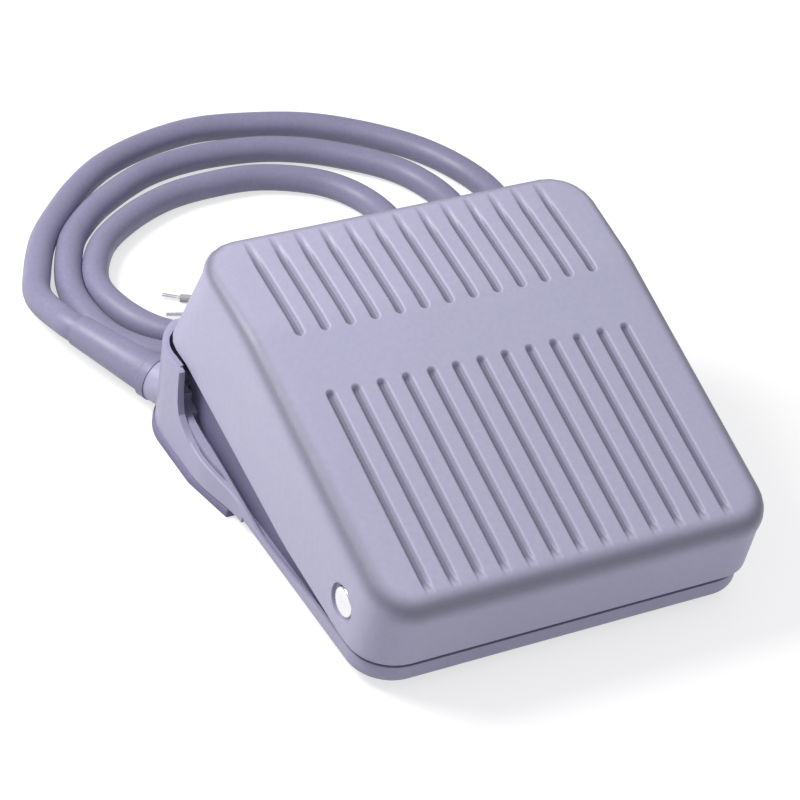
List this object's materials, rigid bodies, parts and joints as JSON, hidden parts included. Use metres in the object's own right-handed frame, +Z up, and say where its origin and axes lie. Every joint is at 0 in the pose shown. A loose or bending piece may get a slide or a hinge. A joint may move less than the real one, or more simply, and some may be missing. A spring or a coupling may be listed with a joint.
{
  "type": "industrial foot switch",
  "caption": "Low wedge foot switch: ribbed tread cover hinged at the front of a shallow base, spring return, snap-action switch inside, captive lead from a rear corner.",
  "frame": {"origin": "on the ground, under the middle of the foot switch (the free lead and its sleeve left out)", "axes": "+X right, seen by the operator who faces the raised rear end; +Y towards the raised rear end, where the lead leaves; +Z up"},
  "size_m": [0.121, 0.1886, 0.0487],
  "materials": {
    "cover_plastic": "light lavender grey, satin, moulded",
    "base_plastic": "light lavender grey, satin, moulded",
    "sole_rubber": "grey rubber, matte",
    "foot_rubber": "dark rubber, matte",
    "buffer_rubber": "black rubber, matte",
    "bush_nylon": "natural nylon, satin",
    "zinc_steel": "zinc plated sheet",
    "screw_steel": "zinc plated, satin",
    "pin_steel": "turned steel, satin",
    "clip_steel": "dark spring steel",
    "spring_steel": "drawn spring wire",
    "lever_steel": "stainless strip",
    "switch_plastic": "black thermoset, slightly glossy",
    "plunger_plastic": "red moulded button",
    "contact_brass": "stamped brass strip",
    "blade_bronze": "beryllium bronze leaf",
    "sleeve_plastic": "vinyl insulated receptacle",
    "jacket_grey": "grey violet jacket, satin",
    "core_blue": "blue core insulation",
    "core_black": "black core insulation",
    "core_grey": "grey core insulation"
  },
  "bodies": {
    "base": {"base_housing": "base_plastic", "rubber_sole": "sole_rubber", "front_feet": "foot_rubber", "hinge_bushes": "bush_nylon", "stop_buffers": "buffer_rubber", "rest_buffers": "buffer_rubber", "switch_bracket": "zinc_steel", "bracket_screws": "screw_steel", "switch_case": "switch_plastic", "switch_side_cover": "switch_plastic", "switch_screws": "screw_steel", "switch_nuts": "screw_steel", "terminal_common": "contact_brass", "terminal_open": "contact_brass", "terminal_closed": "contact_brass", "terminal_sleeves": "sleeve_plastic", "lever_pin": "screw_steel", "cord_sleeve": "jacket_grey", "lead_inner": "jacket_grey", "cord_clamp": "zinc_steel", "clamp_screw": "screw_steel", "core_common": "core_blue", "core_open": "core_black", "core_closed": "core_grey", "return_spring": "spring_steel", "cord": "jacket_grey", "cord_cores": "core_black"},
    "cover": {"tread_cover": "cover_plastic", "hinge_pin": "pin_steel", "pin_clips": "clip_steel", "adjusting_screw": "screw_steel", "adjusting_nut": "screw_steel"},
    "plunger": {"switch_plunger": "plunger_plastic"},
    "lever": {"switch_lever": "lever_steel"},
    "blade": {"contact_blade": "blade_bronze"}
  },
  "joints": [
    {"name": "cover_hinge", "type": "hinge", "parent": "base", "child": "cover", "pos_m": [0, -0.03564, 0.0153], "axis": [-1, 0, 0], "range_deg": [0, 5], "stiffness_Nm_per_rad": 3.9, "springref_deg": -5.73, "deforming": ["return_spring"]},
    {"name": "lever_hinge", "type": "hinge", "parent": "base", "child": "lever", "pos_m": [-0.014, -0.00549, 0.0297], "axis": [-1, 0, 0], "range_deg": [0, 12]},
    {"name": "plunger_slide", "type": "slide", "parent": "base", "child": "plunger", "axis": [0, 0, -1], "range_m": [0, 0.0015]},
    {"name": "blade_hinge", "type": "hinge", "parent": "base", "child": "blade", "pos_m": [-0.014, -0.00099, 0.0194], "axis": [-1, 0, 0], "range_deg": [0, 3.4]}
  ],
  "couplings": [
    {"joint": "lever_hinge", "follows": "cover_hinge", "ratio": 2.4},
    {"joint": "plunger_slide", "follows": "cover_hinge", "m_per_rad": 0.017},
    {"joint": "blade_hinge", "follows": "cover_hinge", "ratio": 0.68}
  ]
}
